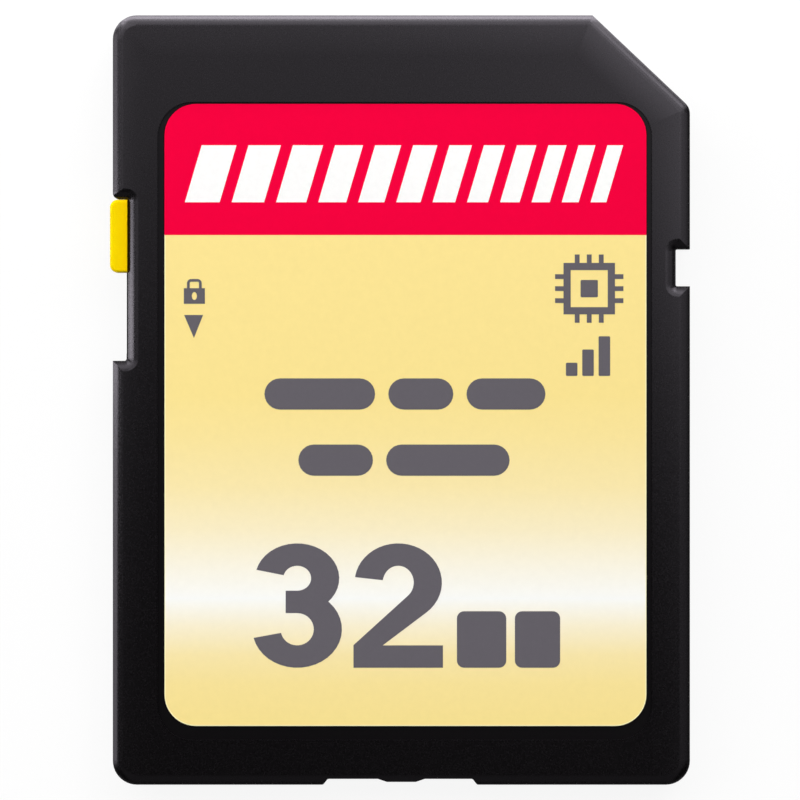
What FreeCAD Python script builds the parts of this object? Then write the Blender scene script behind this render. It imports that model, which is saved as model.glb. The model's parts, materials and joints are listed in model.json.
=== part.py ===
import FreeCAD, Part
import os
import re
import Sketcher

# A full-size memory card lying on its contact side.
# Millimetres. X runs across the card, Y towards the contact end, Z up through the label side.
# The origin is the middle of the rear face.

SIZES = {
    # Case outline
    "card_width": 24.0,
    "card_length": 32.0,
    "card_thickness": 2.1,
    "front_shell_depth": 0.7,
    "corner_radius": 1.0,
    "corner_cut_width": 4.05,
    "corner_cut_length": 3.83,
    "cut_end_radius": 0.6,
    "front_bevel_width": 0.23,
    "front_bevel_drop": 0.18,
    "front_bevel_radius": 0.6,
    "seam_bevel": 0.03,
    # Rails and raised back
    "rail_thickness": 1.4,
    "rail_width": 0.75,
    "back_corner_radius": 0.6,
    "back_edge_radius": 0.18,
    # Write-protect slider and the notch it runs in
    "notch_setback": 7.64,
    "notch_depth": 0.55,
    "notch_front_relief": 0.08,
    "notch_mouth_radius": 0.25,
    "notch_inner_radius": 0.1,
    "tab_length": 3.03,
    "tab_proud": 0.12,
    "tab_face_gap": 0.06,
    "tab_outer_radius": 0.32,
    "tab_edge_radius": 0.12,
    "slider_travel": 3.64,
    "slider_gap": 0.03,
    "slit_inset": 0.3,
    "slit_height": 0.46,
    "lip_thickness": 0.5,
    "tongue_thickness": 0.55,
    "channel_height": 0.86,
    "channel_wall": 0.3,
    # Lock notch on the other edge
    "lock_setback": 9.73,
    "lock_length": 1.54,
    "lock_depth": 0.59,
    "lock_inner_radius": 0.07,
    # Finger recess in the lower edge, with the moulding gate in its middle
    "finger_width": 6.4,
    "finger_shift": 0.05,
    "finger_depth": 0.25,
    "finger_corner_radius": 0.12,
    "finger_slope": 0.19,
    "gate_width": 1.2,
    "gate_slope": 0.38,
    "gate_height": 0.13,
    # Label and the recess it lies in
    "recess_depth": 0.15,
    "recess_left_margin": 1.86,
    "recess_right_margin": 1.58,
    "recess_top_margin": 3.61,
    "recess_bottom_margin": 1.86,
    "recess_radius": 1.45,
    "label_thickness": 0.1,
    "label_left_gap": 0.295,
    "label_right_gap": 0.233,
    "label_top_gap": 0.08,
    "label_bottom_gap": 0.59,
    "label_radius": 1.3,
    # Inside of the case
    "ceiling_thickness": 0.23,
    "side_wall": 0.95,
    "contact_wall": 0.7,
    "lower_wall": 1.0,
    "back_floor": 0.3,
    "ledge_width": 0.65,
    "post_size": 1.0,
    "post_margin": 0.7,
    # Circuit board
    "board_thickness": 0.4,
    "board_gap": 0.05,
    # Contacts and their windows
    "contact_level": 0.7,
    "contact_thickness": 0.035,
    "contact_setback": 1.1,
    "contact_length": 4.5,
    "contact_radius": 0.2,
    "contact_side_gap": 0.1,
    "contact_cut_gap": 0.2,
    "narrow_contact_width": 1.2,
    "window_end_gap": 0.4,
    "rib_width": 0.6,
    "cut_side_margin": 3.125,
    "far_side_margin": 1.75,
    "seventh_step": 0.97,
    "eighth_step": 0.68,
    # Packages and small parts on the board
    "package_headroom": 0.05,
    "package_bevel": 0.06,
    "flash_width": 11.5,
    "flash_length": 13.0,
    "flash_margin": 0.9,
    "controller_size": 6.0,
    "controller_gap": 1.3,
    "pin_mark_radius": 0.4,
    "pin_mark_margin": 0.9,
    "pin_mark_depth": 0.06,
    "passive_length": 1.0,
    "passive_width": 0.5,
    "passive_waist": 0.03,
    "terminal_length": 0.25,
    "passive_pitch": 1.5,
    "passive_row_gap": 1.6,
    "capacitor_headroom": 0.08,
    "resistor_headroom": 0.25,
}

CAPACITORS = 4
RESISTORS = 6

# Places that several pieces share, written in the names of the sizes above
HALF_WIDTH = "(card_width / 2)"
HALF_LENGTH = "(card_length / 2)"
PARTING = "(card_thickness - front_shell_depth)"
RAIL_FACE = "(card_thickness - rail_thickness)"
RECESS_FLOOR = "(card_thickness - recess_depth)"
CEILING = f"({RECESS_FLOOR} - ceiling_thickness)"
BOARD_FACE = "(contact_level + contact_thickness)"
BOARD_TOP = f"({BOARD_FACE} + board_thickness)"
CUT_SLOPE = "(corner_cut_length / corner_cut_width)"
CUT_STRETCH = f"sqrt(1 + {CUT_SLOPE} ^ 2)"

NOTCH_TOP = f"({HALF_LENGTH} - notch_setback)"
NOTCH_END = f"({NOTCH_TOP} - tab_length - slider_travel - 2 * slider_gap)"
NOTCH_WALL = f"(notch_depth - {HALF_WIDTH})"
FRONT_NOTCH_WALL = f"({NOTCH_WALL} + notch_front_relief)"
CHANNEL_OUTER = f"({NOTCH_WALL} + lip_thickness)"
CHANNEL_INNER = f"({CHANNEL_OUTER} + tongue_thickness + 2 * slider_gap)"

INSIDE_SIDE = f"({HALF_WIDTH} - side_wall)"
INSIDE_TOP = f"({HALF_LENGTH} - contact_wall)"
INSIDE_END = f"(lower_wall - {HALF_LENGTH})"
INSIDE_STEP = f"({CHANNEL_INNER} + channel_wall)"

PITCH = "((card_width - cut_side_margin - far_side_margin) / (6 + seventh_step + eighth_step))"
CONTACT_TOP = f"({HALF_LENGTH} - contact_setback)"
CONTACT_END = f"({CONTACT_TOP} - contact_length)"
WINDOW_END = f"({CONTACT_END} - window_end_gap)"

FLASH_END = f"({INSIDE_END} + board_gap + flash_margin)"
FLASH_TOP = f"({FLASH_END} + flash_length)"
CONTROLLER_END = f"({FLASH_TOP} + controller_gap)"


os.makedirs("parts", exist_ok=True)
doc = FreeCAD.newDocument("memory_card")
sheet = doc.addObject("Spreadsheet::Sheet", "sizes")
for row, (alias, size) in enumerate(SIZES.items(), start=1):
    sheet.set(f"A{row}", alias)
    sheet.set(f"B{row}", str(size))
    sheet.setAlias(f"B{row}", alias)
doc.recompute()


def formula(text):
    """Text in the names of the sizes, as an expression on the sheet's cells."""
    def cell(word):
        name = word.group(0)
        return f"sizes.{name}" if name in SIZES else name
    return re.sub(r"[a-z][a-z_]*", cell, text)


def value(text):
    """What a formula comes to, in millimetres."""
    return float(sheet.evalExpression(formula(text)))


def new_body(label):
    body = doc.addObject("PartDesign::Body", label)
    body.Label = label
    return body


def level_sketch(body, name, level):
    """An empty sketch in the body, parallel to the rear face at the given height."""
    sketch = body.newObject("Sketcher::SketchObject", name)
    plane = next(item for item in body.Origin.OriginFeatures if item.Role == "XY_Plane")
    sketch.AttachmentSupport = [(plane, "")]
    sketch.MapMode = "FlatFace"
    sketch.setExpression("AttachmentOffset.Base.z", formula(level))
    return sketch


def bind(sketch, kind, geometry, point, text):
    """Hold one coordinate of a point to a formula, measured from the sketch's origin."""
    index = sketch.addConstraint(Sketcher.Constraint(kind, -1, 1, geometry, point, value(text)))
    sketch.setExpression(f"Constraints[{index}]", formula(text))


def add_loop(sketch, corners):
    """A closed loop of straight sides with every corner bound to the sheet."""
    points = [FreeCAD.Vector(value(across), value(along), 0) for across, along in corners]
    first = sketch.GeometryCount
    count = len(points)
    for start, end in zip(points, points[1:] + points[:1]):
        sketch.addGeometry(Part.LineSegment(start, end))
    for side in range(count):
        following = first + (side + 1) % count
        sketch.addConstraint(Sketcher.Constraint("Coincident", first + side, 2, following, 1))
    for side, (across, along) in enumerate(corners):
        bind(sketch, "DistanceX", first + side, 1, across)
        bind(sketch, "DistanceY", first + side, 1, along)


def add_circle(sketch, across, along, radius):
    centre = FreeCAD.Vector(value(across), value(along), 0)
    circle = sketch.addGeometry(Part.Circle(centre, FreeCAD.Vector(0, 0, 1), value(radius)))
    bind(sketch, "DistanceX", circle, 3, across)
    bind(sketch, "DistanceY", circle, 3, along)
    index = sketch.addConstraint(Sketcher.Constraint("Radius", circle, value(radius)))
    sketch.setExpression(f"Constraints[{index}]", formula(radius))


def box_corners(left, right, lower, upper):
    return [(left, lower), (right, lower), (right, upper), (left, upper)]


def grow(body, name, loops, level, top):
    """Add material from one height to another inside the loops."""
    sketch = level_sketch(body, f"{name}_sketch", level)
    for corners in loops:
        add_loop(sketch, corners)
    pad = body.newObject("PartDesign::Pad", name)
    pad.Profile = sketch
    pad.setExpression("Length", formula(f"{top} - {level}"))
    doc.recompute()
    return pad


def carve(body, name, loops, bottom, top, from_below=False, circles=()):
    """Take away the material between two heights inside the loops."""
    sketch = level_sketch(body, f"{name}_sketch", bottom if from_below else top)
    for corners in loops:
        add_loop(sketch, corners)
    for across, along, radius in circles:
        add_circle(sketch, across, along, radius)
    before = body.Shape.Volume
    pocket = body.newObject("PartDesign::Pocket", name)
    pocket.Profile = sketch
    pocket.Reversed = from_below
    pocket.setExpression("Length", formula(f"{top} - {bottom}"))
    doc.recompute()
    if body.Shape.Volume > before - 1e-6:
        raise RuntimeError(f"{name} takes nothing away")
    return pocket


def upright_edges(shape, places):
    """Names of the edges that run along Z through the given places."""
    spots = [(value(across), value(along)) for across, along in places]
    names = []
    for number, edge in enumerate(shape.Edges, start=1):
        ends = [vertex.Point for vertex in edge.Vertexes]
        if len(ends) != 2:
            continue
        for across, along in spots:
            if all(abs(end.x - across) < 1e-5 and abs(end.y - along) < 1e-5 for end in ends):
                names.append(f"Edge{number}")
    return names


def level_edges(shape, level, keep=None):
    """Names of the edges that lie at one height, or of those whose middle passes the test."""
    height = value(level)
    names = []
    for number, edge in enumerate(shape.Edges, start=1):
        box = edge.BoundBox
        if abs(box.ZMin - height) > 1e-5 or abs(box.ZMax - height) > 1e-5:
            continue
        if keep is None or keep(edge.CenterOfMass):
            names.append(f"Edge{number}")
    return names


def dress(body, name, kind, edges, dimension, size):
    """A fillet or a chamfer on named edges of the body as it stands."""
    if not edges:
        raise RuntimeError(f"{name} finds no edge")
    base = body.Tip
    feature = body.newObject(kind, name)
    feature.Base = (base, edges)
    feature.setExpression(dimension, formula(size))
    doc.recompute()
    return feature


def round_edges(body, name, edges, radius):
    return dress(body, name, "PartDesign::Fillet", edges, "Radius", radius)


def bevel_edges(body, name, edges, size, width=None):
    """An even bevel, or one that goes down a side by its size and in over the level face by a width."""
    bevel = dress(body, name, "PartDesign::Chamfer", edges, "Size", size)
    if width:
        bevel.ChamferType = "Two distances"
        bevel.setExpression("Size2", formula(width))
        doc.recompute()
    return bevel


def round_uprights(body, name, places, radius):
    return round_edges(body, name, upright_edges(body.Shape, places), radius)


def cut_start(inset):
    """Where the cut corner's line, moved into the card by the inset, passes the long edge."""
    return f"({HALF_LENGTH} - corner_cut_length - {inset} * {CUT_STRETCH})"


def cut_along(across, inset):
    """Where that line passes a place across the card."""
    return f"({cut_start(inset)} + ({HALF_WIDTH} - {across}) * {CUT_SLOPE})"


def cut_across(along, inset):
    """Where that line passes a place along the card."""
    return f"({HALF_WIDTH} - ({along} - {cut_start(inset)}) / {CUT_SLOPE})"


def inside_corners(gap):
    """Outline of the space in the case, or of what fits it when a gap is given."""
    side = f"({INSIDE_SIDE} - {gap})"
    upper = f"({INSIDE_TOP} - {gap})"
    lower = f"({INSIDE_END} + {gap})"
    step = f"({INSIDE_STEP} + {gap})"
    step_top = f"({NOTCH_TOP} + channel_wall + {gap})"
    step_end = f"({NOTCH_END} - channel_wall - {gap})"
    inset = f"(contact_wall + {gap})"
    return [
        (f"-{side}", lower),
        (side, lower),
        (side, cut_along(side, inset)),
        (cut_across(upper, inset), upper),
        (f"-{side}", upper),
        (f"-{side}", step_top),
        (step, step_top),
        (step, step_end),
        (f"-{side}", step_end),
    ]


def case_outline(body, level, top, notch_wall):
    """The card's outline with its cut corner, both edge notches and the rounded corners."""
    grow(body, "outline", [[
        (f"-{HALF_WIDTH}", f"-{HALF_LENGTH}"),
        (HALF_WIDTH, f"-{HALF_LENGTH}"),
        (HALF_WIDTH, f"{HALF_LENGTH} - corner_cut_length"),
        (f"{HALF_WIDTH} - corner_cut_width", HALF_LENGTH),
        (f"-{HALF_WIDTH}", HALF_LENGTH),
    ]], level, top)
    lock_top = f"({HALF_LENGTH} - lock_setback)"
    lock_end = f"({lock_top} - lock_length)"
    lock_wall = f"({HALF_WIDTH} - lock_depth)"
    carve(body, "edge_notches", [
        box_corners(f"-{HALF_WIDTH}", notch_wall, NOTCH_END, NOTCH_TOP),
        box_corners(lock_wall, HALF_WIDTH, lock_end, lock_top),
    ], level, top)
    round_uprights(body, "case_corners", [
        (f"-{HALF_WIDTH}", f"-{HALF_LENGTH}"),
        (HALF_WIDTH, f"-{HALF_LENGTH}"),
        (f"-{HALF_WIDTH}", HALF_LENGTH),
    ], "corner_radius")
    round_uprights(body, "cut_end", [(HALF_WIDTH, f"{HALF_LENGTH} - corner_cut_length")], "cut_end_radius")
    round_uprights(body, "notch_mouth", [(f"-{HALF_WIDTH}", NOTCH_TOP)], "notch_mouth_radius")
    notch_inside = [(notch_wall, NOTCH_TOP), (notch_wall, NOTCH_END)]
    round_uprights(body, "notch_inside", notch_inside, "notch_inner_radius")
    lock_inside = [(lock_wall, lock_top), (lock_wall, lock_end)]
    round_uprights(body, "lock_inside", lock_inside, "lock_inner_radius")


def finger_recess(body, bottom, top):
    """Shallow recess in the lower edge, around the stub left by the moulding gate."""
    edge = f"(-{HALF_LENGTH})"
    floor = f"({edge} + finger_depth)"
    stub = f"({floor} - gate_height)"
    left = "(-finger_width / 2 - finger_shift)"
    right = "(finger_width / 2 - finger_shift)"
    foot = "(gate_width / 2 + gate_slope)"
    ends = [
        (left, edge),
        (right, edge),
        (f"{right} - finger_slope", floor),
        (f"{left} + finger_slope", floor),
    ]
    carve(body, "finger_recess", [[
        *ends[:3],
        (foot, floor),
        ("gate_width / 2", stub),
        ("-gate_width / 2", stub),
        (f"-{foot}", floor),
        ends[3],
    ]], bottom, top)
    round_uprights(body, "finger_corners", ends, "finger_corner_radius")


def slider_way(body, bottom, top, slit_bottom, slit_top, from_below):
    """The shell's half of the channel for the slider's tongue, and of the slit for its neck."""
    channel = box_corners(CHANNEL_OUTER, CHANNEL_INNER, NOTCH_END, NOTCH_TOP)
    carve(body, "slider_channel", [channel], bottom, top, from_below)
    slit = box_corners(NOTCH_WALL, CHANNEL_OUTER, f"{NOTCH_END} + slit_inset", f"{NOTCH_TOP} - slit_inset")
    carve(body, "slider_slit", [slit], slit_bottom, slit_top, from_below)


def contact_layout():
    """Each contact's number, middle across the card and width, from the cut corner on."""
    wide = f"({PITCH} - rib_width - 2 * contact_side_gap)"
    layout = []
    for place, number in enumerate((9, 1, 2, 3, 4, 5, 6)):
        layout.append((number, f"({HALF_WIDTH} - cut_side_margin - {place} * {PITCH})", wide))
    layout.append((7, f"({layout[-1][1]} - seventh_step * {PITCH})", "narrow_contact_width"))
    layout.append((8, f"({layout[-1][1]} - eighth_step * {PITCH})", "narrow_contact_width"))
    return layout


def make_front_shell():
    body = new_body("front_shell")
    case_outline(body, PARTING, "card_thickness", FRONT_NOTCH_WALL)
    outer_rim = level_edges(body.Shape, "card_thickness")
    bevel_edges(body, "front_bevel", outer_rim, "front_bevel_drop", "front_bevel_width")
    round_edges(body, "front_rim", level_edges(body.Shape, "card_thickness"), "front_bevel_radius")
    bevel_edges(body, "seam", level_edges(body.Shape, PARTING), "seam_bevel")
    finger_recess(body, PARTING, "card_thickness")
    left = f"(recess_left_margin - {HALF_WIDTH})"
    right = f"({HALF_WIDTH} - recess_right_margin)"
    lower = f"(recess_bottom_margin - {HALF_LENGTH})"
    upper = f"({HALF_LENGTH} - recess_top_margin)"
    recess = box_corners(left, right, lower, upper)
    carve(body, "label_recess", [recess], RECESS_FLOOR, "card_thickness")
    round_uprights(body, "recess_corners", recess, "recess_radius")
    carve(body, "inside", [inside_corners("0")], PARTING, CEILING, from_below=True)
    channel_top = f"({PARTING} + channel_height / 2)"
    slit_top = f"({PARTING} + slit_height / 2)"
    slider_way(body, PARTING, channel_top, PARTING, slit_top, from_below=True)
    near = f"({INSIDE_SIDE} - post_margin)"
    far = f"({near} - post_size)"
    high = f"({NOTCH_TOP} + channel_wall + post_margin)"
    low = f"({INSIDE_END} + post_margin)"
    posts = []
    for start in (low, high):
        end = f"{start} + post_size"
        posts.append(box_corners(f"-{near}", f"-{far}", start, end))
        posts.append(box_corners(far, near, start, end))
    grow(body, "board_posts", posts, BOARD_TOP, CEILING)
    return body


def make_rear_shell():
    body = new_body("rear_shell")
    side = f"({HALF_WIDTH} - rail_width)"
    grow(body, "raised_back", [[
        (f"-{side}", f"-{HALF_LENGTH}"),
        (side, f"-{HALF_LENGTH}"),
        (side, cut_along(side, "0")),
        (f"{HALF_WIDTH} - corner_cut_width", HALF_LENGTH),
        (f"-{side}", HALF_LENGTH),
    ]], "0", RAIL_FACE)
    round_uprights(body, "back_corners", [
        (f"-{side}", f"-{HALF_LENGTH}"),
        (side, f"-{HALF_LENGTH}"),
        (f"-{side}", HALF_LENGTH),
    ], "back_corner_radius")
    case_outline(body, RAIL_FACE, PARTING, NOTCH_WALL)
    bevel_edges(body, "seam", level_edges(body.Shape, PARTING), "seam_bevel")
    round_edges(body, "back_rim", level_edges(body.Shape, "0"), "back_edge_radius")
    finger_recess(body, "0", PARTING)
    carve(body, "board_seat", [inside_corners("0")], BOARD_FACE, PARTING)
    well_side = f"({INSIDE_SIDE} - ledge_width)"
    well_end = f"{INSIDE_END} + ledge_width"
    well_top = f"{WINDOW_END} - ledge_width"
    well = box_corners(f"-{well_side}", well_side, well_end, well_top)
    carve(body, "well", [well], "back_floor", BOARD_FACE)
    windows = []
    half_window = f"(({PITCH} - rib_width) / 2)"
    layout = contact_layout()
    for number, middle, width in layout[:7]:
        left = f"{middle} - {half_window}"
        right = f"{middle} + {half_window}"
        windows.append(box_corners(left, right, WINDOW_END, HALF_LENGTH))
    half_narrow = "(narrow_contact_width / 2 + contact_side_gap)"
    shared_left = f"{layout[8][1]} - {half_narrow}"
    shared_right = f"{layout[6][1]} - {half_window} - rib_width"
    windows.append(box_corners(shared_left, shared_right, WINDOW_END, HALF_LENGTH))
    carve(body, "contact_windows", windows, "0", BOARD_FACE, from_below=True)
    channel_bottom = f"({PARTING} - channel_height / 2)"
    slit_bottom = f"({PARTING} - slit_height / 2)"
    slider_way(body, channel_bottom, PARTING, slit_bottom, PARTING, from_below=False)
    return body


def make_slider():
    body = new_body("write_protect_slider")
    outer = f"(-{HALF_WIDTH} - tab_proud)"
    inner = f"({NOTCH_WALL} - slider_gap)"
    upper = f"({NOTCH_TOP} - slider_gap)"
    lower = f"({upper} - tab_length)"
    bottom = f"({RAIL_FACE} + tab_face_gap)"
    top = "(card_thickness - tab_face_gap)"
    step = f"({PARTING} + slider_gap)"
    grow(body, "tab", [box_corners(outer, inner, lower, upper)], bottom, step)
    front_inner = f"({FRONT_NOTCH_WALL} - slider_gap)"
    grow(body, "front_tab", [box_corners(outer, front_inner, lower, upper)], step, top)
    round_uprights(body, "tab_outer_corners", [(outer, lower), (outer, upper)], "tab_outer_radius")
    def on_outside(middle):
        return middle.x < value(inner) - 1e-5
    rims = level_edges(body.Shape, top, on_outside) + level_edges(body.Shape, bottom, on_outside)
    round_edges(body, "tab_rims", rims, "tab_edge_radius")
    neck_end = f"({CHANNEL_OUTER} + slider_gap)"
    neck = box_corners(inner, neck_end, f"{lower} + slit_inset", f"{upper} - slit_inset")
    half_neck = "(slit_height / 2 - slider_gap)"
    grow(body, "neck", [neck], f"({PARTING} - {half_neck})", f"({PARTING} + {half_neck})")
    tongue = box_corners(neck_end, f"({CHANNEL_INNER} - slider_gap)", lower, upper)
    half_tongue = "(channel_height / 2 - slider_gap)"
    grow(body, "tongue", [tongue], f"({PARTING} - {half_tongue})", f"({PARTING} + {half_tongue})")
    return body


def make_label():
    body = new_body("front_label")
    corners = box_corners(
        f"(recess_left_margin + label_left_gap - {HALF_WIDTH})",
        f"({HALF_WIDTH} - recess_right_margin - label_right_gap)",
        f"(recess_bottom_margin + label_bottom_gap - {HALF_LENGTH})",
        f"({HALF_LENGTH} - recess_top_margin - label_top_gap)",
    )
    grow(body, "film", [corners], RECESS_FLOOR, f"({RECESS_FLOOR} + label_thickness)")
    round_uprights(body, "film_corners", corners, "label_radius")
    return body


def make_board():
    body = new_body("circuit_board")
    grow(body, "laminate", [inside_corners("board_gap")], BOARD_FACE, BOARD_TOP)
    return body


def make_contact(number, middle, width):
    body = new_body(f"contact_{number}")
    left = f"({middle} - {width} / 2)"
    right = f"({middle} + {width} / 2)"
    upper = CONTACT_TOP
    if number == 9:
        upper = f"({cut_along(right, '(contact_wall + board_gap)')} - contact_cut_gap)"
    corners = box_corners(left, right, CONTACT_END, upper)
    grow(body, "pad", [corners], "contact_level", BOARD_FACE)
    round_uprights(body, "pad_corners", corners, "contact_radius")
    return body


def make_package(label, left, lower, width, length):
    """A moulded package on the board, with a bevelled top and the mark for its first pin."""
    body = new_body(label)
    top = f"({CEILING} - package_headroom)"
    corners = box_corners(left, f"{left} + {width}", lower, f"{lower} + {length}")
    grow(body, "moulding", [corners], BOARD_TOP, top)
    bevel_edges(body, "top_bevel", level_edges(body.Shape, top), "package_bevel")
    mark = (f"{left} + pin_mark_margin", f"{lower} + {length} - pin_mark_margin", "pin_mark_radius")
    carve(body, "pin_mark", [], f"({top} - pin_mark_depth)", top, circles=[mark])
    return body


def make_passive(label, place, row, headroom):
    """A two-terminal ceramic part, its metal ends a little wider than its waist."""
    body = new_body(label)
    across = f"(-controller_gap - {place} * passive_pitch - passive_length / 2)"
    along = f"({CONTROLLER_END} + {row} * passive_row_gap + passive_width / 2)"
    left = f"({across} - passive_length / 2)"
    right = f"({across} + passive_length / 2)"
    left_waist = f"({left} + terminal_length)"
    right_waist = f"({right} - terminal_length)"
    half = "(passive_width / 2)"
    lower = f"({along} - {half})"
    upper = f"({along} + {half})"
    grow(body, "chip", [[
        (left, lower),
        (left_waist, lower),
        (left_waist, f"{lower} + passive_waist"),
        (right_waist, f"{lower} + passive_waist"),
        (right_waist, lower),
        (right, lower),
        (right, upper),
        (right_waist, upper),
        (right_waist, f"{upper} - passive_waist"),
        (left_waist, f"{upper} - passive_waist"),
        (left_waist, upper),
        (left, upper),
    ]], BOARD_TOP, f"({CEILING} - {headroom})")
    return body


pieces = [make_front_shell(), make_rear_shell(), make_slider(), make_label(), make_board()]
for contact_number, contact_middle, contact_width in contact_layout():
    pieces.append(make_contact(contact_number, contact_middle, contact_width))
pieces.append(make_package("flash_chip", "(-flash_width / 2)", FLASH_END, "flash_width", "flash_length"))
pieces.append(make_package("controller_chip", "0", CONTROLLER_END, "controller_size", "controller_size"))
for place in range(CAPACITORS):
    pieces.append(make_passive(f"capacitor_{place + 1}", place, 0, "capacitor_headroom"))
for place in range(RESISTORS):
    pieces.append(make_passive(f"resistor_{place + 1}", place % 3, 1 + place // 3, "resistor_headroom"))

doc.recompute()
for item in doc.Objects:
    if "Invalid" in item.State or "Error" in item.State:
        raise RuntimeError(f"{item.Name} did not compute: {item.State}")
for piece in pieces:
    if piece.Shape.isNull() or not piece.Shape.isValid() or len(piece.Shape.Solids) != 1:
        raise RuntimeError(f"{piece.Label} is not one sound solid")
    piece.Shape.exportStep(f"parts/{piece.Label}.step")
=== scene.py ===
import json
import math

import bmesh
import bpy
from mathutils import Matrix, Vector
from mathutils.geometry import delaunay_2d_cdt


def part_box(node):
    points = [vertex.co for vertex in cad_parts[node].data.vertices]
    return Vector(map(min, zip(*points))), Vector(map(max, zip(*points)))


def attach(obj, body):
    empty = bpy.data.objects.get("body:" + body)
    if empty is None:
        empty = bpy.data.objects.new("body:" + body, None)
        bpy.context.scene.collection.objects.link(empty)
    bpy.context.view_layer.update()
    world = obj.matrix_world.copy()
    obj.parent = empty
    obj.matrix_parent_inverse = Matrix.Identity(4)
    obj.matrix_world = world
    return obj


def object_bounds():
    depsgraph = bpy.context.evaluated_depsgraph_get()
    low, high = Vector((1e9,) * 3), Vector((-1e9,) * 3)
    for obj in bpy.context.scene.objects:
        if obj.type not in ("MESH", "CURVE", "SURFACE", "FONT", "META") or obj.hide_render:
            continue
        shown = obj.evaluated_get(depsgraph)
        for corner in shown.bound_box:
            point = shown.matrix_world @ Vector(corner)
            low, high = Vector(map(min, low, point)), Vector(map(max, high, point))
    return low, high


# Looks of a memory card that lies on its contact side, seen from straight above.
# Lengths are given in millimetres and turned into metres where they reach Blender.

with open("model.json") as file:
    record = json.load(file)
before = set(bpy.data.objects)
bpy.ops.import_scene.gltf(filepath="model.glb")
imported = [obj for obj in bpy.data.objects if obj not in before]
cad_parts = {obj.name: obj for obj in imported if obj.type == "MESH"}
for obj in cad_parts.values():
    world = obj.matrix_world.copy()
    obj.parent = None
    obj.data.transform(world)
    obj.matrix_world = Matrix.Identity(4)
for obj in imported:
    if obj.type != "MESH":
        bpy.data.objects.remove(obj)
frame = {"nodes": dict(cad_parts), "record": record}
cad_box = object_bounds()

MM = 0.001
WHITE, BLACK = (1, 1, 1, 1), (0, 0, 0, 1)

# What most values of a noise lie between, and the middle part of that
NOISE_RANGE = (0.3, 0.7)
MIDDLE_RANGE = (0.35, 0.65)

# Case: the shallow crown of its faces, in from the sides
CORNER_CUT = (4.05, 3.83)
CROWN_START, CROWN_WIDTH, CROWN_DROP = 0.3, 1.7, 0.064

# Case: gloss of its faces, of the bevel that is rubbed, and of the label's recess, where lower
# gloss is painted shade, darkest at the label's edge as a painted shadow line
PLAIN_GLOSS, RUBBED_GLOSS = 0.5, 1.0
RUB_START, RUB_FULL, BEVEL_DROP, BEVEL_FADE = 0.3, 0.16, 0.18, 0.02
RECESS_REACH, RECESS_FADE, RECESS_LEVEL = 0.7, 0.1, 0.05
RECESS_ROUGHNESS = 0.32
RECESS_PAINTED_SHADE_GLOSS, PAINTED_SHADOW_WIDTH = (0.1, 0.28), 0.06

# Slider: its colour at the outer edge, and painted shade that darkens it towards the part
# inside the notch
SLIDER_OUTER, SLIDER_SHADED_INNER = (246, 217, 0), (238, 194, 0)
SLIDER_SHADE_START, SLIDER_SHADE_END = 0.1, 0.75
SLIDER_PAINTED_SHADE_SHARE, SLIDER_CLOUD_SHARE = 0.85, 0.15

# Label and its print
LABEL_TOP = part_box("front_label")[1].z / MM
LABEL_RADIUS = 1.3
INK = 0.006
BAND_EDGE, BAND_BLUR = 6.854, 0.01
RED = (242, 0, 61)
GOLD = (251, 228, 148)
CREAM = (254, 254, 250)
WHITE_INK = (252, 251, 250)
GREY_INK = (101, 97, 104)
# Pale colour along the label's outline, and its width: a painted edge highlight
PAINTED_EDGE_HIGHLIGHT = (255, 250, 205)
EDGE_HIGHLIGHT_WIDTH = 0.06
MOTTLE = (0.975, 0.975, 0.975, 1)
THIN_INK = 0.96

# Glow across the gold: place along Y, and the share of cream there
GLOW = ((-13.6, 0.0), (-11.8, 0.05), (-10.6, 0.18), (-9.4, 0.54), (-8.25, 1.0), (-7.1, 0.78),
        (-5.4, 0.43), (-3.6, 0.19), (-1.5, 0.06), (0.2, 0.0))

# Small parts on the board: shares of their length where the tinned ends stop and start
TIN = (0.62, 0.62, 0.6, 1)
TIN_STOP, TIN_START = 0.25, 0.75
DARK_CERAMIC = 0.85

# Lamps: name, place, the point faced, width and height, and how bright the lamp itself looks
CENTRE = (0, 0, 2)
LAMPS = (
    ("overhead_left", (-18, 28, 100), (-18, 28, 0), (56, 36), 0.62),
    ("overhead_right", (125, 26, 100), (125, 26, 0), (230, 40), 1.02),
    ("right_fill", (140, -18, 100), (140, -18, 0), (200, 48), 0.22),
    ("near_fill", (0, -140, 100), (0, -140, 0), (200, 200), 0.16),
    ("end_slit", (0, 19, 3.0), (0, 16, 2), (44, 1.5), 4.7),
    ("far_low", (-120, 1560, 900), CENTRE, (2300, 500), 1.6),
    ("far_mid", (-220, 1108, 1418), CENTRE, (2700, 920), 2.12),
    ("left_strip", (-826, 60, 350), CENTRE, (480, 470), 2.35),
    ("left_slit", (-57, 4, 22), (-12, 4, 2), (4, 40), 10.5),
    ("left_corner", (-560, 600, 350), CENTRE, (400, 470), 2.7),
    ("left_mid", (-118, 42, 158), (-12, 16, 2), (56, 150), 1.15),
    ("corner_strip", (512, 550, 497), CENTRE, (380, 366), 3.6),
    ("corner_mid", (58, 66, 128), (10, 14, 2), (85, 100), 1.38),
)


def linear(colour):
    """Display colour, 0 to 255, as linear RGBA."""
    parts = []
    for part in colour:
        share = part / 255
        parts.append(share / 12.92 if share <= 0.04045 else ((share + 0.055) / 1.055) ** 2.4)
    return (*parts, 1.0)


def tinted(colour, factor):
    """The colour with its parts multiplied by a factor."""
    return (*(part * factor for part in colour[:3]), 1.0)


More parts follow.
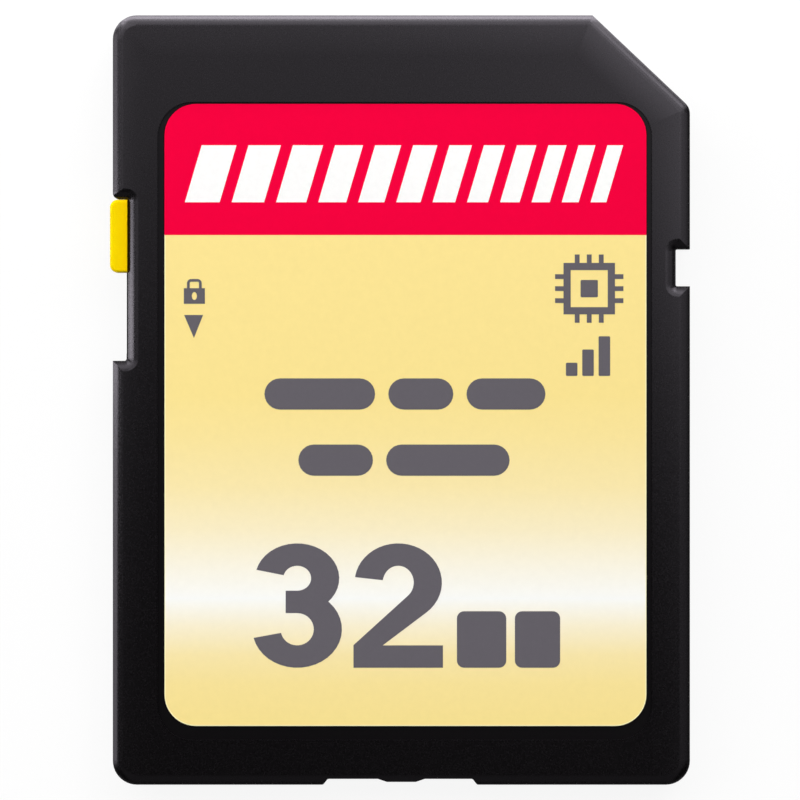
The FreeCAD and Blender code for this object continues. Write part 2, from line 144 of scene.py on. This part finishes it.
class Nodes:
    """A node tree in the making."""

    def __init__(self, tree):
        self.tree = tree
        tree.nodes.clear()

    def node(self, kind, values=(), **links):
        made = self.tree.nodes.new(kind)
        for socket, value in dict(values).items():
            made.inputs[socket].default_value = value
        for socket, source in links.items():
            self.tree.links.new(source, made.inputs[socket])
        return made

    def join(self, source, socket):
        """Give a socket a source, which is another socket or a constant."""
        if isinstance(source, bpy.types.NodeSocket):
            self.tree.links.new(source, socket)
        else:
            socket.default_value = source

    def math(self, operation, *terms):
        made = self.tree.nodes.new("ShaderNodeMath")
        made.operation = operation
        for term, socket in zip(terms, made.inputs):
            self.join(term, socket)
        return made.outputs["Value"]

    def vector(self, operation, *terms):
        made = self.tree.nodes.new("ShaderNodeVectorMath")
        made.operation = operation
        for term, socket in zip(terms, made.inputs):
            self.join(term, socket)
        return made.outputs["Value" if operation in ("LENGTH", "DOT_PRODUCT") else "Vector"]

    def axis(self, name, source):
        """One part of a vector: X, Y or Z."""
        return self.node("ShaderNodeSeparateXYZ", Vector=source).outputs[name]

    def span(self, source, low, high, start=0.0, end=1.0):
        """The source between start and end, spread over low to high."""
        values = {"From Min": start, "From Max": end, "To Min": low, "To Max": high}
        return self.node("ShaderNodeMapRange", values, Value=source).outputs["Result"]

    def blend(self, share, first, second):
        """The first value where the share is 0 and the second where it is 1."""
        made = self.node("ShaderNodeMix", Factor=share)
        self.join(first, made.inputs["A"])
        self.join(second, made.inputs["B"])
        return made.outputs["Result"]

    def mix_colours(self, share, first, second, blend_type="MIX"):
        made = self.node("ShaderNodeMixRGB")
        made.blend_type = blend_type
        for source, socket in zip((share, first, second), ("Fac", "Color1", "Color2")):
            self.join(source, made.inputs[socket])
        return made.outputs["Color"]

    def mix_shaders(self, share, first, second):
        made = self.node("ShaderNodeMixShader", Fac=share)
        self.tree.links.new(first, made.inputs[1])
        self.tree.links.new(second, made.inputs[2])
        return made.outputs["Shader"]

    def ramp(self, source, stops, interpolation="LINEAR"):
        made = self.node("ShaderNodeValToRGB", Fac=source)
        made.color_ramp.interpolation = interpolation
        elements = made.color_ramp.elements
        while len(elements) < len(stops):
            elements.new(0.5)
        for element, (position, colour) in zip(elements, stops):
            element.position = position
            element.color = colour
        return made.outputs["Color"]


class Shader(Nodes):
    """A procedural material in the making. Textures follow the object's own coordinates."""

    def __init__(self, name):
        self.material = bpy.data.materials.new(name)
        self.material.use_nodes = True
        super().__init__(self.material.node_tree)
        self.bsdf = self.node("ShaderNodeBsdfPrincipled")
        self.node("ShaderNodeOutputMaterial", Surface=self.bsdf.outputs["BSDF"])
        places = self.node("ShaderNodeTexCoord").outputs
        self.place, self.share_of_box = places["Object"], places["Generated"]

    def noise(self, size, detail=2.0, rough=0.5, stretch=None):
        """Noise whose features are about the given size in millimetres."""
        source = self.place
        if stretch:
            mapping = self.node("ShaderNodeMapping", {"Scale": stretch}, Vector=source)
            source = mapping.outputs["Vector"]
        values = {"Scale": 1 / (size * MM), "Detail": detail, "Roughness": rough}
        return self.node("ShaderNodeTexNoise", values, Vector=source).outputs["Fac"]

    def vary(self, noise, low, high, between=NOISE_RANGE):
        """A value from low to high that follows a noise."""
        return self.span(noise, low, high, *between)

    def tone(self, source, first, second, between=NOISE_RANGE):
        """A colour from the first to the second that follows a noise or another value."""
        return self.ramp(source, list(zip(between, (first, second))))

    def bump(self, height, depth, strength=1.0, below=None):
        """Relief of the given depth in millimetres."""
        values = {"Strength": strength, "Distance": depth * MM}
        made = self.node("ShaderNodeBump", values, Height=height)
        if below:
            self.tree.links.new(below, made.inputs["Normal"])
        return made.outputs["Normal"]

    def feed(self, socket, source):
        self.tree.links.new(source, self.bsdf.inputs[socket])

    def set(self, **values):
        for socket, value in values.items():
            self.bsdf.inputs[socket.replace("_", " ")].default_value = value


def case_plastic():
    """Black moulding with a fine eroded grain, a rougher recess whose lower gloss is painted
    shade, darkest at the label's edge, and a rubbed leading bevel.
    """
    shader = Shader("case_plastic")
    broad = shader.noise(size=7.0, detail=3.0)
    grain = shader.noise(size=0.09, detail=3.0, rough=0.65)
    away = label_distance(shader)
    recess = label_recess(shader, away)
    dark, light = (0.0005, 0.0003, 0.0003, 1), (0.0010, 0.0007, 0.0007, 1)
    shader.feed("Base Color", shader.tone(broad, dark, light))
    polish = shader.vary(grain, 0.23, 0.29)
    shader.feed("Roughness", shader.blend(recess, polish, RECESS_ROUGHNESS))
    # Painted shade: gloss in the recess is lowered, least right at the label's edge as a
    # painted shadow line.
    painted_shade_gloss = shader.span(away, *RECESS_PAINTED_SHADE_GLOSS, LABEL_RADIUS * MM,
                       (LABEL_RADIUS + PAINTED_SHADOW_WIDTH) * MM)
    gloss = shader.blend(recess, PLAIN_GLOSS, painted_shade_gloss)
    gloss = shader.blend(leading_edge(shader), gloss, RUBBED_GLOSS)
    shader.feed("Specular IOR Level", gloss)
    crown = shader.bump(shell_crown(shader), CROWN_DROP)
    shader.feed("Normal", shader.bump(grain, depth=0.003, strength=0.15, below=crown))
    shader.set(Specular_Tint=(0.95, 0.88, 1.0, 1.0))
    return shader.material


def leading_edge(shader):
    """1 on the bevel that enters the slot first, which is rubbed smooth, and 0 elsewhere."""
    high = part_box("front_shell")[1]
    end = shader.span(shader.axis("Y", shader.place), 0.0, 1.0,
                      high.y - RUB_START * MM, high.y - RUB_FULL * MM)
    upper = shader.span(shader.axis("Z", shader.place), 0.0, 1.0,
                        high.z - (BEVEL_DROP + BEVEL_FADE) * MM, high.z - BEVEL_DROP * MM)
    return shader.math("MULTIPLY", end, upper)


def shell_crown(shader):
    """Height of the case's faces, which fall away a little towards three sides and the cut."""
    low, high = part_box("front_shell")
    across = Vector((CORNER_CUT[1], CORNER_CUT[0], 0)).normalized()
    on_cut = Vector((high.x, high.y - CORNER_CUT[1] * MM, 0))
    sides = (((0, 1, 0), high.y), ((-1, 0, 0), -low.x), ((1, 0, 0), high.x),
             (across, across.dot(on_cut)))
    inside = CROWN_WIDTH * MM
    for outward, reach in sides:
        place = shader.vector("DOT_PRODUCT", shader.place, outward)
        inside = shader.math("MINIMUM", shader.math("SUBTRACT", reach, place), inside)
    fall = shader.span(inside, 1.0, 0.0, CROWN_START * MM, CROWN_WIDTH * MM)
    return shader.math("SUBTRACT", 1.0, shader.math("MULTIPLY", fall, fall))


def label_recess(shader, away):
    """1 on the floor of the label's recess, which is rougher and has painted shade in its
    gloss, and 0 elsewhere.
    """
    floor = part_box("front_label")[0].z
    level = shader.math("COMPARE", shader.axis("Z", shader.place), floor, RECESS_LEVEL * MM)
    reach = LABEL_RADIUS + RECESS_REACH
    near = shader.span(away, 1.0, 0.0, reach * MM, (reach + RECESS_FADE) * MM)
    return shader.math("MULTIPLY", level, near)


def label_distance(shader):
    """Distance from the box between the centres of the label's corners: on its outline, their
    radius."""
    low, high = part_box("front_label")
    middle = (low + high) / 2
    inner = (high - low) / 2 - Vector((LABEL_RADIUS, LABEL_RADIUS, 0)) * MM
    source = shader.place
    for operation, *values in (("SUBTRACT", middle), ("ABSOLUTE",), ("SUBTRACT", inner),
                               ("MAXIMUM", (0, 0, 0)), ("MULTIPLY", (1, 1, 0)), ("LENGTH",)):
        source = shader.vector(operation, source, *values)
    return source


def slider_plastic():
    """Yellow moulding, rougher than the case, with painted shade that makes it a little darker
    away from its outer edge.
    """
    shader = Shader("slider_plastic")
    cloud = shader.noise(size=0.8, detail=3.0)
    grain = shader.noise(size=0.06)
    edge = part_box("write_protect_slider")[0].x
    # Painted shade: the colour darkens from the outer edge in towards the notch.
    depth = shader.span(shader.axis("X", shader.place), 0.0, SLIDER_PAINTED_SHADE_SHARE,
                        edge + SLIDER_SHADE_START * MM, edge + SLIDER_SHADE_END * MM)
    shade = shader.math("MULTIPLY_ADD", cloud, SLIDER_CLOUD_SHARE, depth)
    colour = shader.tone(shade, linear(SLIDER_OUTER), linear(SLIDER_SHADED_INNER), between=(0.0, 1.0))
    shader.feed("Base Color", colour)
    shader.feed("Roughness", shader.vary(grain, 0.28, 0.4))
    shader.feed("Normal", shader.bump(grain, depth=0.002, strength=0.3))
    shader.set(Subsurface_Weight=0.15, Subsurface_Scale=0.15 * MM)
    shader.set(Subsurface_Radius=(1.0, 0.6, 0.1), Specular_IOR_Level=0.03)
    return shader.material


def film(shader):
    """The satin surface that the label's print lies under."""
    peel = shader.noise(size=0.5)
    grain = shader.noise(size=0.05)
    shader.feed("Roughness", shader.vary(grain, 0.38, 0.5))
    shader.feed("Normal", shader.bump(peel, depth=0.0015, strength=0.25))
    shader.set(Specular_IOR_Level=0.02)


def label_film():
    """Printed film: a red band over gold, with a pale glow across the lower part, and a painted
    highlight along the outline of the gold.
    """
    shader = Shader("label_film")
    along = shader.axis("Y", shader.place)
    low, high = GLOW[0][0], GLOW[-1][0]
    gold, cream, red = linear(GOLD), linear(CREAM), linear(RED)
    stops = []
    for height, share in GLOW:
        mixed = [one + (other - one) * share for one, other in zip(gold, cream)]
        stops.append(((height - low) / (high - low), mixed))
    ground = shader.ramp(shader.span(along, 0.0, 1.0, low * MM, high * MM), stops)
    band = shader.span(along, 0.0, 1.0,
                       (BAND_EDGE - BAND_BLUR) * MM, (BAND_EDGE + BAND_BLUR) * MM)
    printed = shader.mix_colours(band, ground, red)
    mottle = shader.tone(shader.noise(size=0.35, detail=4.0, rough=0.7), MOTTLE, WHITE)
    printed = shader.mix_colours(1.0, printed, mottle, blend_type="MULTIPLY")
    # Painted edge highlight: a pale rim along the outline of the gold, which stays red on the
    # band.
    cut = shader.tone(band, linear(PAINTED_EDGE_HIGHLIGHT), red, between=(0.0, 1.0))
    shader.feed("Base Color", shader.mix_colours(label_edge_highlight(shader), printed, cut))
    film(shader)
    return shader.material


def label_edge_highlight(shader):
    """1 along the label's rounded outline, over the width of the painted edge highlight, and 0
    inside.
    """
    away = label_distance(shader)
    return shader.span(away, 0.0, 1.0, (LABEL_RADIUS - EDGE_HIGHLIGHT_WIDTH) * MM, LABEL_RADIUS * MM)


def ink(name, colour):
    """Ink that covers a little unevenly."""
    shader = Shader(name)
    full = linear(colour)
    cover = shader.noise(size=0.2, detail=4.0, rough=0.7)
    shader.feed("Base Color", shader.tone(cover, tinted(full, THIN_INK), full))
    film(shader)
    return shader.material


def gold_plate():
    """Gold on copper, with faint rub marks along the way the card slides."""
    shader = Shader("gold_plate")
    cloud = shader.noise(size=0.9, detail=3.0)
    rub = shader.noise(size=0.12, detail=3.0, rough=0.6, stretch=(1.0, 0.05, 1.0))
    dark, light = (0.86, 0.6, 0.24, 1), (0.93, 0.69, 0.32, 1)
    shader.feed("Base Color", shader.tone(cloud, dark, light))
    shader.feed("Roughness", shader.vary(rub, 0.2, 0.36, MIDDLE_RANGE))
    shader.feed("Normal", shader.bump(rub, depth=0.0008, strength=0.4))
    shader.set(Metallic=1.0)
    return shader.material


def solder_mask():
    """Green lacquer over copper, which shows through a little."""
    shader = Shader("solder_mask")
    weave = shader.noise(size=0.5)
    grain = shader.noise(size=0.08)
    dark, light = (0.006, 0.045, 0.022, 1), (0.012, 0.075, 0.035, 1)
    shader.feed("Base Color", shader.tone(weave, dark, light, MIDDLE_RANGE))
    shader.feed("Roughness", shader.vary(grain, 0.25, 0.4))
    shader.feed("Normal", shader.bump(weave, depth=0.003, strength=0.3))
    return shader.material


def package_moulding():
    """Dull black resin of the chips."""
    shader = Shader("package_moulding")
    grain = shader.noise(size=0.05, detail=3.0, rough=0.7)
    dark, light = (0.012, 0.012, 0.013, 1), (0.026, 0.026, 0.028, 1)
    shader.feed("Base Color", shader.tone(grain, dark, light))
    shader.feed("Roughness", shader.vary(grain, 0.55, 0.75))
    shader.feed("Normal", shader.bump(grain, depth=0.004, strength=0.4))
    return shader.material


def chip_part(name, ceramic):
    """A small ceramic part with tinned ends, told apart by their place along it."""
    shader = Shader(name)
    along = shader.axis("X", shader.share_of_box)
    ends = [(0.0, WHITE), (TIN_STOP, BLACK), (TIN_START, WHITE)]
    is_end = shader.ramp(along, ends, "CONSTANT")
    grain = shader.noise(size=0.06)
    body = shader.tone(grain, tinted(ceramic, DARK_CERAMIC), ceramic)
    shader.feed("Base Color", shader.mix_colours(is_end, body, TIN))
    shader.feed("Metallic", is_end)
    shader.feed("Roughness", shader.vary(grain, 0.35, 0.5))
    return shader.material


class Print:
    """A layer of ink on the label: flat shapes that may cross, merged into one closed film."""

    def __init__(self, name, material):
        self.name = name
        self.material = material
        self.shapes = []

    def area(self, outline):
        """One closed outline, given anticlockwise."""
        self.shapes.append(outline)

    def stroke(self, path, width):
        """A line of even width along a path."""
        left, right = [], []
        last = len(path) - 1
        for index, (x, y) in enumerate(path):
            before = Vector(path[max(index - 1, 0)])
            after = Vector(path[min(index + 1, last)])
            along = (after - before).normalized()
            side = Vector((-along.y, along.x)) * width / 2
            left.append((x + side.x, y + side.y))
            right.append((x - side.x, y - side.y))
        self.area(right + left[::-1])

    def block(self, left, right, lower, upper, radius=0.0):
        self.area(rounded_box(left, right, lower, upper, radius))

    def merged(self):
        """The shapes' union as a flat mesh of triangles on the label."""
        inside_only, tolerance = 1, 1e-5
        points, outlines = [], []
        for outline in self.shapes:
            outlines.append(range(len(points), len(points) + len(outline)))
            points += [Vector(point) for point in outline]
        spots, _, triangles, _, _, sources = delaunay_2d_cdt(points, [], outlines,
                                                             inside_only, tolerance)
        film_mesh = bmesh.new()
        corners = []
        for spot in spots:
            corners.append(film_mesh.verts.new((spot.x * MM, spot.y * MM, LABEL_TOP * MM)))
        for triangle, source in zip(triangles, sources):
            if source:
                film_mesh.faces.new([corners[index] for index in triangle])
        loose = [corner for corner in film_mesh.verts if not corner.link_faces]
        bmesh.ops.delete(film_mesh, geom=loose, context="VERTS")
        return film_mesh

    def finish(self):
        """Raise the flat mesh to the ink's thickness, and put it on the card."""
        film_mesh = self.merged()
        flat = film_mesh.faces[:]
        rim = [edge for edge in film_mesh.edges if edge.is_boundary]
        above = {}
        for corner in film_mesh.verts[:]:
            above[corner] = film_mesh.verts.new(corner.co + Vector((0, 0, INK * MM)))
        for face in flat:
            film_mesh.faces.new([above[corner] for corner in face.verts])
        for edge in rim:
            start, end = edge.verts
            film_mesh.faces.new((start, end, above[end], above[start]))
        bmesh.ops.recalc_face_normals(film_mesh, faces=film_mesh.faces)
        mesh = bpy.data.meshes.new(self.name)
        film_mesh.to_mesh(mesh)
        film_mesh.free()
        mesh.materials.append(self.material)
        piece = bpy.data.objects.new(self.name, mesh)
        bpy.context.scene.collection.objects.link(piece)
        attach(piece, "card")


def arc(centre, radii, start, end, steps=28):
    """Points along an ellipse from one angle to another, in degrees."""
    points = []
    for step in range(steps + 1):
        angle = math.radians(start + (end - start) * step / steps)
        points.append((centre[0] + radii[0] * math.cos(angle),
                       centre[1] + radii[1] * math.sin(angle)))
    return points


def ring(centre, outer, inner, start, end):
    """Outline of part of a ring between two ellipses, from one angle to a larger one."""
    return arc(centre, outer, start, end) + arc(centre, inner, end, start)


def rounded_box(left, right, lower, upper, radius):
    """Outline of a box, whose corners are square where the radius is 0."""
    if radius == 0:
        return [(left, lower), (right, lower), (right, upper), (left, upper)]
    corners = [(right - radius, lower + radius, -90), (right - radius, upper - radius, 0),
               (left + radius, upper - radius, 90), (left + radius, lower + radius, 180)]
    points = []
    for x, y, start in corners:
        points += arc((x, y), (radius, radius), start, start + 90, steps=6)
    return points


def draw_white(layer):
    """A row of slanted stripes across the red band, narrower towards the right."""
    left, right, lower, upper = -9.0, 9.22, 8.22, 10.59
    count, gap, lean, taper = 12, 0.5, 0.7, 0.93
    first = (right - left - lean - gap * (count - 1)) * (1 - taper) / (1 - taper ** count)
    start = left
    for number in range(count):
        end = start + first * taper ** number
        layer.area([(start, lower), (end, lower), (end + lean, upper), (start + lean, upper)])
        start = end + gap


def draw_lock_sign(layer):
    """Padlock with a keyhole, and the arrow that says which way the slider locks."""
    x, y, half_width, half_height = -8.604, 4.323, 0.438, 0.325
    keyhole_across, keyhole_up = 0.105, 0.165
    for side in (1, -1):
        inner, outer = x, x + side * half_width
        near, far = y - side * half_height, y + side * half_height
        keyhole = arc((x, y), (side * keyhole_across, side * keyhole_up), 90, -90, steps=12)
        layer.area([(inner, near), (outer, near), (outer, far), (inner, far)] + keyhole)
    reach, rise, bend, bar = 0.25, 0.65, 0.12, 0.115
    bend_y = y + rise - bend
    shackle = [(x + reach, y)]
    shackle += arc((x + reach - bend, bend_y), (bend, bend), 0, 90, steps=6)
    shackle += arc((x - reach + bend, bend_y), (bend, bend), 90, 180, steps=6)
    shackle += [(x - reach, y)]
    middle = len(shackle) // 2
    layer.stroke(shackle[:middle + 1], bar)
    layer.stroke(shackle[middle:], bar)
    arrow_left, arrow_right, arrow_top = -9.03, -8.24, 3.535
    arrow_tip = (-8.622, 2.58)
    layer.area([(arrow_left, arrow_top), arrow_tip, (arrow_right, arrow_top)])


def draw_chip_sign(layer):
    """Outline of a chip with its legs."""
    x, y, half, wall = 7.81, 4.63, 0.92, 0.3
    leg_steps, leg_end, leg_width = (-0.5, 0.0, 0.5), 0.5, 0.2
    core, core_radius = 0.36, 0.05
    corners = rounded_box(x - half, x + half, y - half, y + half, 0)
    for start, end in zip(corners, corners[1:] + corners[:1]):
        past = (Vector(end) - Vector(start)).normalized() * wall / 2
        layer.stroke([(start[0] - past.x, start[1] - past.y),
                      (end[0] + past.x, end[1] + past.y)], wall)
    for step in leg_steps:
        for side in (-1, 1):
            inner, outer = side * (half + wall / 2), side * (half + leg_end)
            layer.stroke([(x + step, y + inner), (x + step, y + outer)], leg_width)
            layer.stroke([(x + inner, y + step), (x + outer, y + step)], leg_width)
    layer.block(x - core, x + core, y - core, y + core, core_radius)


def draw_level_sign(layer):
    """Three rising bars."""
    left, foot, width, pitch, rise, radius = 6.84, 1.0, 0.48, 0.68, 0.55, 0.05
    for number in range(3):
        start = left + number * pitch
        layer.block(start, start + width, foot, foot + rise * (number + 1), radius)


def draw_lines(layer):
    """Two rows of round-ended bars in the middle of the label."""
    height, gap = 1.3, 0.55
    rows = ((-5.69, 0.25, (4.6, 2.7, 3.28)), (-4.28, -2.5, (3.1, 5.13)))
    for left, middle, lengths in rows:
        lower, upper = middle - height / 2, middle + height / 2
        for length in lengths:
            layer.block(left, left + length, lower, upper, height / 2)
            left += length + gap


def draw_three(layer, left, lower, width, height, pen):
    """Two open bowls that share the bar in their middle."""
    x = left + width / 2
    upright, level = pen
    both = height + level
    lower_rise, upper_rise = both * 0.2625, both * 0.2375
    lower_reach, upper_reach = width * 0.5, width * 0.47
    lower_tip, upper_tip, joint = -167, 166, 90
    upper_bowl = ((upper_reach, upper_rise), lower + height - upper_rise, -joint, upper_tip)
    lower_bowl = ((lower_reach, lower_rise), lower + lower_rise, lower_tip, joint)
    for radii, y, start, end in (upper_bowl, lower_bowl):
        inner = (radii[0] - upright, radii[1] - level)
        layer.area(ring((x, y), radii, inner, start, end))
    bar_left, bar_right, bar_top = x - 0.48, x + 0.05, lower + 2 * lower_rise
    layer.block(bar_left, bar_right, bar_top - level, bar_top)


def draw_two(layer, left, lower, width, height, pen):
    """An open bowl whose edges run on straight, down to the foot."""
    upright, level = pen
    reach, rise = width * 0.488, height * 0.315
    turn, tip = -50, 172
    centre = (left + width / 2, lower + height - rise)
    outer, inner = (reach, rise), (reach - upright, rise - level)
    layer.area(ring(centre, outer, inner, turn, tip))
    across, up = math.cos(math.radians(turn)), math.sin(math.radians(turn))
    ends = []
    for radii in (outer, inner):
        x, y = centre[0] + radii[0] * across, centre[1] + radii[1] * up
        ends.append((x, y, -radii[1] * across / (radii[0] * up)))
    (outer_x, outer_y, outer_slope), (inner_x, inner_y, inner_slope) = ends
    foot_top, right = lower + level, left + width
    layer.area([(left, lower), (right, lower), (right, foot_top),
                (outer_x + (foot_top - outer_y) / outer_slope, foot_top), (outer_x, outer_y),
                (inner_x, inner_y), (left, inner_y + (left - inner_x) * inner_slope)])


def draw_number(layer):
    """A plain number, with two small blocks after it."""
    lower, height, width, pen = -11.13, 5.17, 3.72, (1.17, 0.93)
    three_left, two_left = -6.19, -1.99
    blocks, block_height, block_radius = ((2.31, 4.36), (4.72, 6.6)), 2.35, 0.3
    draw_three(layer, three_left, lower, width, height, pen)
    draw_two(layer, two_left, lower, width, height, pen)
    for left, right in blocks:
        layer.block(left, right, lower, lower + block_height, block_radius)


def print_label():
    """The white ink on the band and the grey ink on the gold."""
    white = Print("white_print", ink("white_ink", WHITE_INK))
    draw_white(white)
    white.finish()
    grey = Print("grey_print", ink("grey_ink", GREY_INK))
    for draw in (draw_lock_sign, draw_chip_sign, draw_level_sign, draw_lines, draw_number):
        draw(grey)
    grey.finish()


def paint_nodes():
    """Give each CAD node its material."""
    slots = {
        "case": case_plastic(),
        "slider": slider_plastic(),
        "label": label_film(),
        "board": solder_mask(),
        "contact": gold_plate(),
        "package": package_moulding(),
        "capacitor": chip_part("capacitor_body", ceramic=(0.3, 0.19, 0.1, 1)),
        "resistor": chip_part("resistor_body", ceramic=(0.02, 0.02, 0.022, 1)),
    }
    for subpart in frame["record"]["subparts"]:
        node = frame["nodes"][subpart["node"]]
        node.data.materials.clear()
        node.data.materials.append(slots[subpart["material_slot"]])


def ray_kinds(tree):
    """Two values: 1 for rays from the camera, and 1 for rays mirrored or through glass."""
    path = tree.node("ShaderNodeLightPath").outputs
    mirrored = tree.math("MAXIMUM", path["Is Glossy Ray"], path["Is Transmission Ray"])
    return path["Is Camera Ray"], mirrored


def make_floor():
    """A white floor just under the card, which lets the underside be seen from below."""
    half, level = 600.0, -0.01
    pale, glow_share = (0.95, 0.95, 0.95, 1), 0.9
    mesh = bpy.data.meshes.new("floor")
    outline = rounded_box(-half, half, -half, half, 0)
    mesh.from_pydata([(x * MM, y * MM, level * MM) for x, y in outline], [], [(0, 1, 2, 3)])
    floor = bpy.data.objects.new("floor", mesh)
    bpy.context.scene.collection.objects.link(floor)
    material = bpy.data.materials.new("floor_white")
    material.use_nodes = True
    tree = Nodes(material.node_tree)
    diffuse = tree.node("ShaderNodeBsdfDiffuse", {"Color": pale}).outputs["BSDF"]
    glow = tree.node("ShaderNodeEmission", {"Strength": 1.0}).outputs["Emission"]
    clear = tree.node("ShaderNodeBsdfTransparent").outputs["BSDF"]
    below = tree.node("ShaderNodeNewGeometry").outputs["Backfacing"]
    shown = tree.math("MULTIPLY", tree.math("MAXIMUM", *ray_kinds(tree)), glow_share)
    surface = tree.mix_shaders(below, tree.mix_shaders(shown, diffuse, glow), clear)
    tree.node("ShaderNodeOutputMaterial", Surface=surface)
    mesh.materials.append(material)


def make_world():
    """White where it is seen or mirrored near the horizon, dark overhead and dim as a light."""
    dim, white, wall_top = 0.015, 1.0, 0.11
    world = bpy.data.worlds.new("studio")
    bpy.context.scene.world = world
    world.use_nodes = True
    tree = Nodes(world.node_tree)
    seen, mirrored = ray_kinds(tree)
    direction = tree.node("ShaderNodeTexCoord").outputs["Generated"]
    wall = tree.span(tree.axis("Z", direction), white, dim, 0.0, wall_top)
    strength = tree.blend(seen, tree.blend(mirrored, dim, wall), white)
    background = tree.node("ShaderNodeBackground", {"Color": WHITE}, Strength=strength)
    tree.node("ShaderNodeOutputWorld", Surface=background.outputs["Background"])


def make_lamps():
    """Panels and fills overhead, and strips and slits round the contact end and the sides."""
    for name, place, target, size, radiance in LAMPS:
        data = bpy.data.lights.new(name, "AREA")
        data.shape = "RECTANGLE"
        data.size, data.size_y = size[0] * MM, size[1] * MM
        data.energy = radiance * math.pi * data.size * data.size_y
        light = bpy.data.objects.new(name, data)
        light.location = Vector(place) * MM
        facing = Vector(target) - Vector(place)
        light.rotation_euler = facing.to_track_quat("-Z", "Y").to_euler()
        light.visible_camera = False
        bpy.context.scene.collection.objects.link(light)


def make_camera():
    """Straight above, with a lens long enough to hide the card's sides."""
    shown_width, lens, middle = 33.25, 300.0, -0.056
    nearest, farthest = 10.0, 10000.0
    data = bpy.data.cameras.new("camera")
    data.lens = lens
    data.sensor_width = 36.0
    data.clip_start = nearest * MM
    data.clip_end = farthest * MM
    camera = bpy.data.objects.new("camera", data)
    height = cad_box[1].z + shown_width * MM * lens / data.sensor_width
    camera.location = (middle * MM, 0.0, height)
    bpy.context.scene.collection.objects.link(camera)
    bpy.context.scene.camera = camera


paint_nodes()
print_label()
make_floor()
make_world()
make_lamps()
make_camera()
bpy.context.scene.view_settings.view_transform = "Standard"
